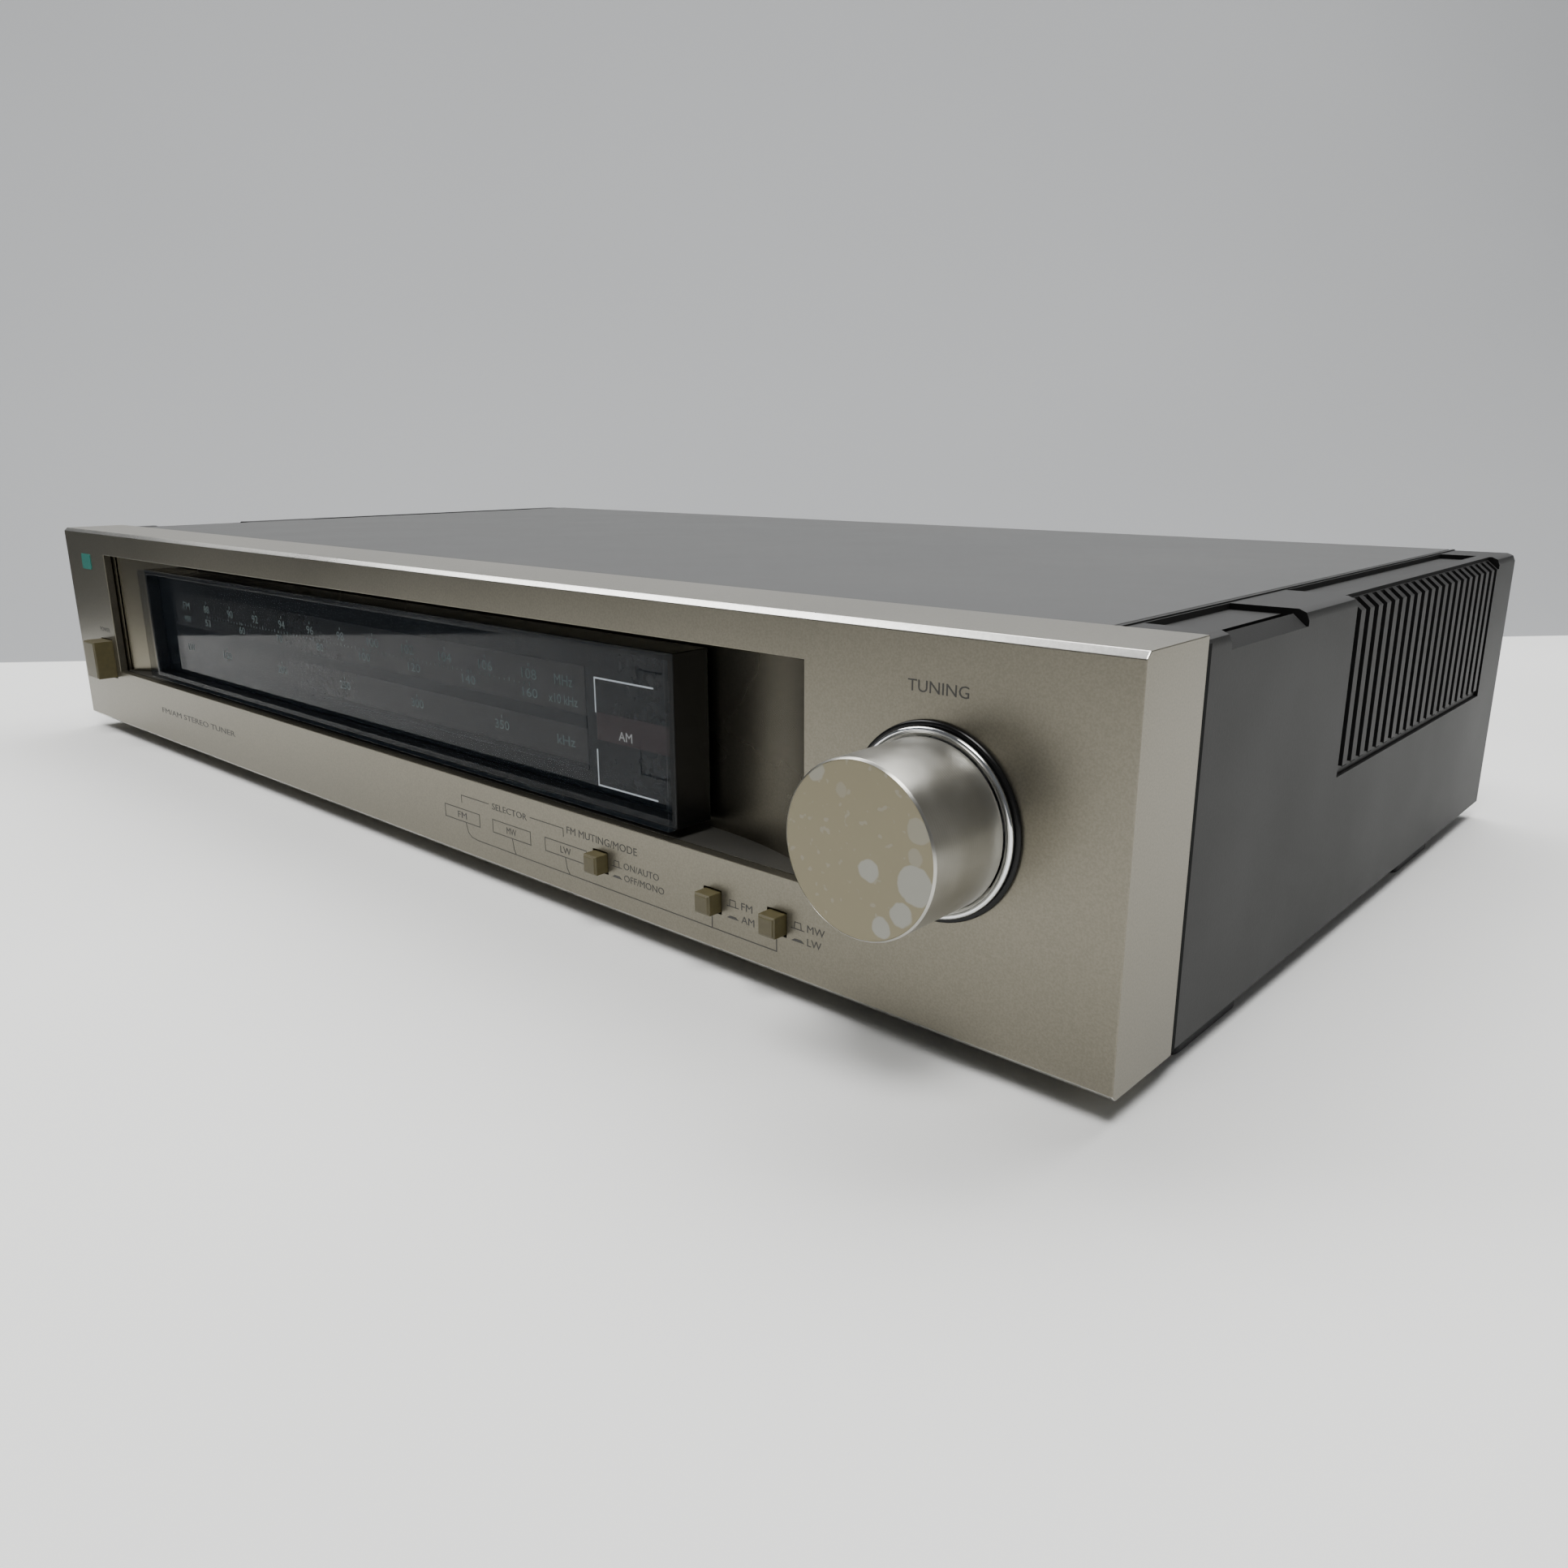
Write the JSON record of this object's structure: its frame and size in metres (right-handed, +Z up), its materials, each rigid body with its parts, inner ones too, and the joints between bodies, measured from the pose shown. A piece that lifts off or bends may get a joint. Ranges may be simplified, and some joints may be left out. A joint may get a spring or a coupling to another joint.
{
  "type": "stereo tuner",
  "caption": "Slim stereo radio tuner with a silver fascia, long recessed dial, turned tuning knob, push buttons and black vented side panels.",
  "frame": {"origin": "on the surface it stands on, under the middle of its overall box", "axes": "+X to the right seen from the front, +Y to the rear, +Z up"},
  "size_m": [0.43, 0.2606, 0.0751],
  "materials": {
    "fascia_silver": "satin warm-silver metallic paint, fine grain",
    "knob_aluminium": "turned aluminium, fine concentric lines on the side",
    "trim_chrome": "polished chrome ring",
    "case_grey": "satin dark grey paint on sheet steel",
    "moulded_black": "fine-textured black moulding",
    "gloss_black": "gloss black moulding",
    "button_khaki": "khaki moulding with a slightly worn face",
    "smoked_glass": "smoked acrylic",
    "zinc_steel": "zinc-plated sheet steel",
    "brass": "plain brass",
    "white_plastic": "white moulding",
    "pointer_red": "red moulding",
    "board_resin": "phenolic board",
    "foot_rubber": "black rubber",
    "ferrite": "ferrite bar in a plastic holder",
    "transformer_copper": "copper band over a laminated core",
    "capacitor_blue": "blue shrink sleeve",
    "heat_sink_black": "black anodised aluminium"
  },
  "bodies": {
    "cabinet": {"front_fascia": "fascia_silver", "recess_tray": "fascia_silver", "dial_housing": "gloss_black", "dial_glass": "smoked_glass", "dial_scale": "gloss_black", "knob_bezel": "gloss_black", "knob_trim_ring": "trim_chrome", "shaft_bushing": "brass", "power_switch": "gloss_black", "muting_switch": "white_plastic", "band_switch": "white_plastic", "wave_switch": "white_plastic", "idler_pin": "zinc_steel", "capacitor_frame": "zinc_steel", "pointer_rail": "zinc_steel", "dial_string": "white_plastic", "dial_lamp_left": "white_plastic", "dial_lamp_right": "white_plastic", "light_reflector": "white_plastic", "front_bracket": "zinc_steel", "chassis_pan": "zinc_steel", "rear_panel": "case_grey", "top_cover": "case_grey", "cover_screw_1": "zinc_steel", "cover_screw_2": "zinc_steel", "cover_screw_3": "zinc_steel", "side_panel_right": "moulded_black", "side_panel_left": "moulded_black", "foot_front_left": "foot_rubber", "foot_rear_left": "foot_rubber", "foot_front_right": "foot_rubber", "foot_rear_right": "foot_rubber", "circuit_board": "board_resin", "power_transformer": "transformer_copper", "tuner_shield_can": "zinc_steel", "filter_capacitor_large": "capacitor_blue", "filter_capacitor_small": "capacitor_blue", "regulator_heat_sink": "heat_sink_black", "output_jacks": "gloss_black", "antenna_terminals": "gloss_black", "cord_gland": "foot_rubber", "antenna_bracket": "gloss_black"},
    "tuning": {"tuning_knob": "knob_aluminium", "tuning_shaft": "zinc_steel", "flywheel": "zinc_steel"},
    "drum": {"dial_drum": "white_plastic"},
    "idler": {"idler_pulley": "white_plastic"},
    "capacitor": {"capacitor_rotor": "brass"},
    "pointer": {"dial_pointer": "pointer_red"},
    "power_key": {"power_button": "button_khaki"},
    "muting_key": {"muting_button": "button_khaki"},
    "band_key": {"band_button": "button_khaki"},
    "wave_key": {"wave_button": "button_khaki"},
    "antenna": {"antenna_bar": "ferrite"}
  },
  "joints": [
    {"name": "tuning_spin", "type": "hinge", "parent": "cabinet", "child": "tuning", "pos_m": [0.1798, -0.11025, 0.043], "axis": [0, 1, 0], "range_deg": [-1145, 1145]},
    {"name": "drum_spin", "type": "hinge", "parent": "cabinet", "child": "drum", "pos_m": [0.128, -0.09225, 0.0426], "axis": [0, 1, 0], "range_deg": [-359, 359]},
    {"name": "idler_spin", "type": "hinge", "parent": "cabinet", "child": "idler", "pos_m": [-0.165, -0.09225, 0.0526], "axis": [0, 1, 0], "range_deg": [-956, 956]},
    {"name": "capacitor_turn", "type": "hinge", "parent": "cabinet", "child": "capacitor", "pos_m": [0.108, -0.08025, 0.0426], "axis": [0, 1, 0], "range_deg": [-90, 90]},
    {"name": "pointer_slide", "type": "slide", "parent": "cabinet", "child": "pointer", "axis": [1, 0, 0], "range_m": [-0.1002, 0.1002]},
    {"name": "power_press", "type": "slide", "parent": "cabinet", "child": "power_key", "axis": [0, 1, 0], "range_m": [0, 0.005], "stiffness_N_per_m": 250},
    {"name": "muting_press", "type": "slide", "parent": "cabinet", "child": "muting_key", "axis": [0, 1, 0], "range_m": [0, 0.0028], "stiffness_N_per_m": 250},
    {"name": "band_press", "type": "slide", "parent": "cabinet", "child": "band_key", "axis": [0, 1, 0], "range_m": [0, 0.0028], "stiffness_N_per_m": 250},
    {"name": "wave_press", "type": "slide", "parent": "cabinet", "child": "wave_key", "axis": [0, 1, 0], "range_m": [0, 0.0028], "stiffness_N_per_m": 250},
    {"name": "antenna_swing", "type": "hinge", "parent": "cabinet", "child": "antenna", "pos_m": [-0.07, 0.12535, 0.0546], "axis": [0, 0, 1], "range_deg": [0, 90]}
  ],
  "couplings": [
    {"joint": "drum_spin", "follows": "tuning_spin", "ratio": 0.3125},
    {"joint": "idler_spin", "follows": "tuning_spin", "ratio": 0.83333},
    {"joint": "capacitor_turn", "follows": "tuning_spin", "ratio": -0.078125},
    {"joint": "pointer_slide", "follows": "tuning_spin", "m_per_rad": 0.005}
  ]
}
